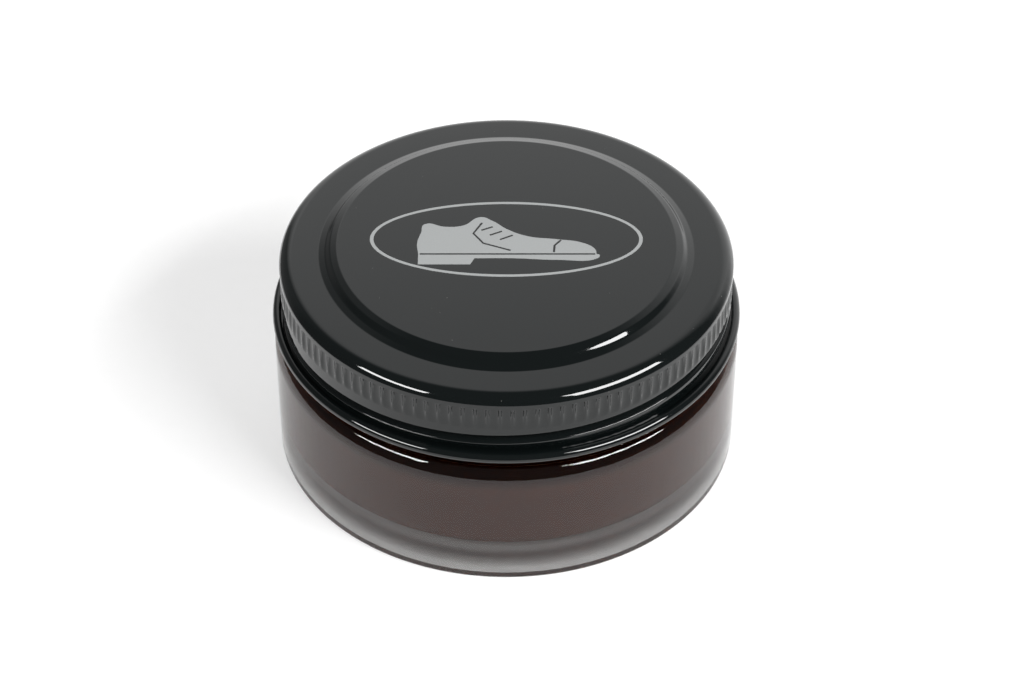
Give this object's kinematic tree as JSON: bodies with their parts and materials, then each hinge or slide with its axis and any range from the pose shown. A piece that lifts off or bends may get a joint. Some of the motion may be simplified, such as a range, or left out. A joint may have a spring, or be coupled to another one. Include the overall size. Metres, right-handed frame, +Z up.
{
  "type": "shoe cream jar",
  "caption": "Low round clear glass jar of brown shoe cream, with a black knurled metal screw lid that has a raised flat panel and a rolled lower edge.",
  "frame": {"origin": "centre of the jar's base, on the surface that it stands on", "axes": "+Z up the jar's axis towards the lid; -Y is the front, which the printed emblem reads from; +X to its right"},
  "size_m": [0.066, 0.066, 0.0331],
  "materials": {
    "clear_glass": "polished",
    "brown_cream": "satin",
    "black_lacquer": "gloss",
    "silver_print": "satin",
    "white_foam": "matte"
  },
  "bodies": {
    "jar": {"glass_jar": "clear_glass", "shoe_cream": "brown_cream"},
    "liner": {"lid_liner": "white_foam"},
    "lid": {"lid_shell": "black_lacquer"}
  },
  "joints": [
    {"name": "lid_rise", "type": "slide", "parent": "jar", "child": "liner", "axis": [0, 0, 1], "range_m": [0, 0.0153]},
    {"name": "lid_turn", "type": "hinge", "parent": "liner", "child": "lid", "pos_m": [0, 0, 0.0244], "axis": [0, 0, 1], "range_deg": [0, 1080]}
  ],
  "couplings": [
    {"joint": "lid_rise", "follows": "lid_turn", "m_per_rad": 0.00080851}
  ]
}
